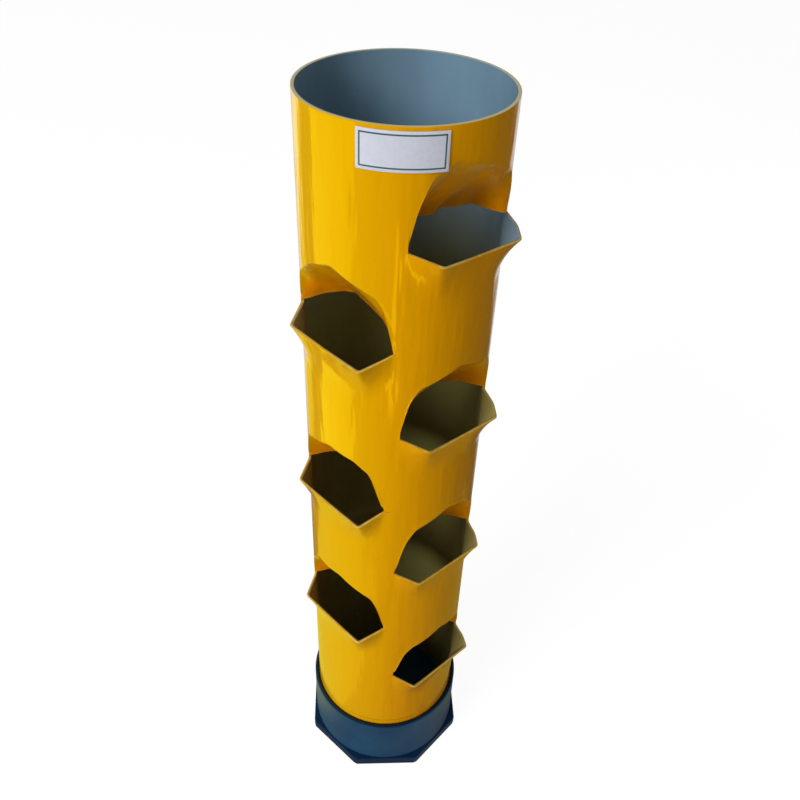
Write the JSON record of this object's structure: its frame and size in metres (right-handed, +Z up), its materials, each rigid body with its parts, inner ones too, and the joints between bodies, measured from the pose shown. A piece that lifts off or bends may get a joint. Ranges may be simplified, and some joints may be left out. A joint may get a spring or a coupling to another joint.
{
  "type": "vertical planter tower",
  "caption": "Upright plastic pipe with staggered heat-formed planting pockets, standing in an octagonal cap that it turns in and lifts out of.",
  "frame": {"origin": "on the floor under the axis of the pipe", "axes": "+Z up along the pipe, -Y to the front, midway between the two columns of pockets"},
  "size_m": [0.1762, 0.1786, 0.7803],
  "materials": {
    "tube": "gloss yellow outside, bare grey inside",
    "label": "satin white vinyl",
    "seal": "matt black rubber",
    "base": "satin navy moulding"
  },
  "bodies": {
    "base": {"base_cap": "base"},
    "ring": {"seal_ring": "seal"},
    "tower": {"tower_tube": "tube", "label": "label"}
  },
  "joints": [
    {"name": "tower_turn", "type": "hinge", "parent": "base", "child": "ring", "pos_m": [0, 0, 0.0777], "axis": [0, 0, 1], "continuous": true},
    {"name": "tower_lift", "type": "slide", "parent": "ring", "child": "tower", "axis": [0, 0, 1], "range_m": [0, 0.062]}
  ]
}
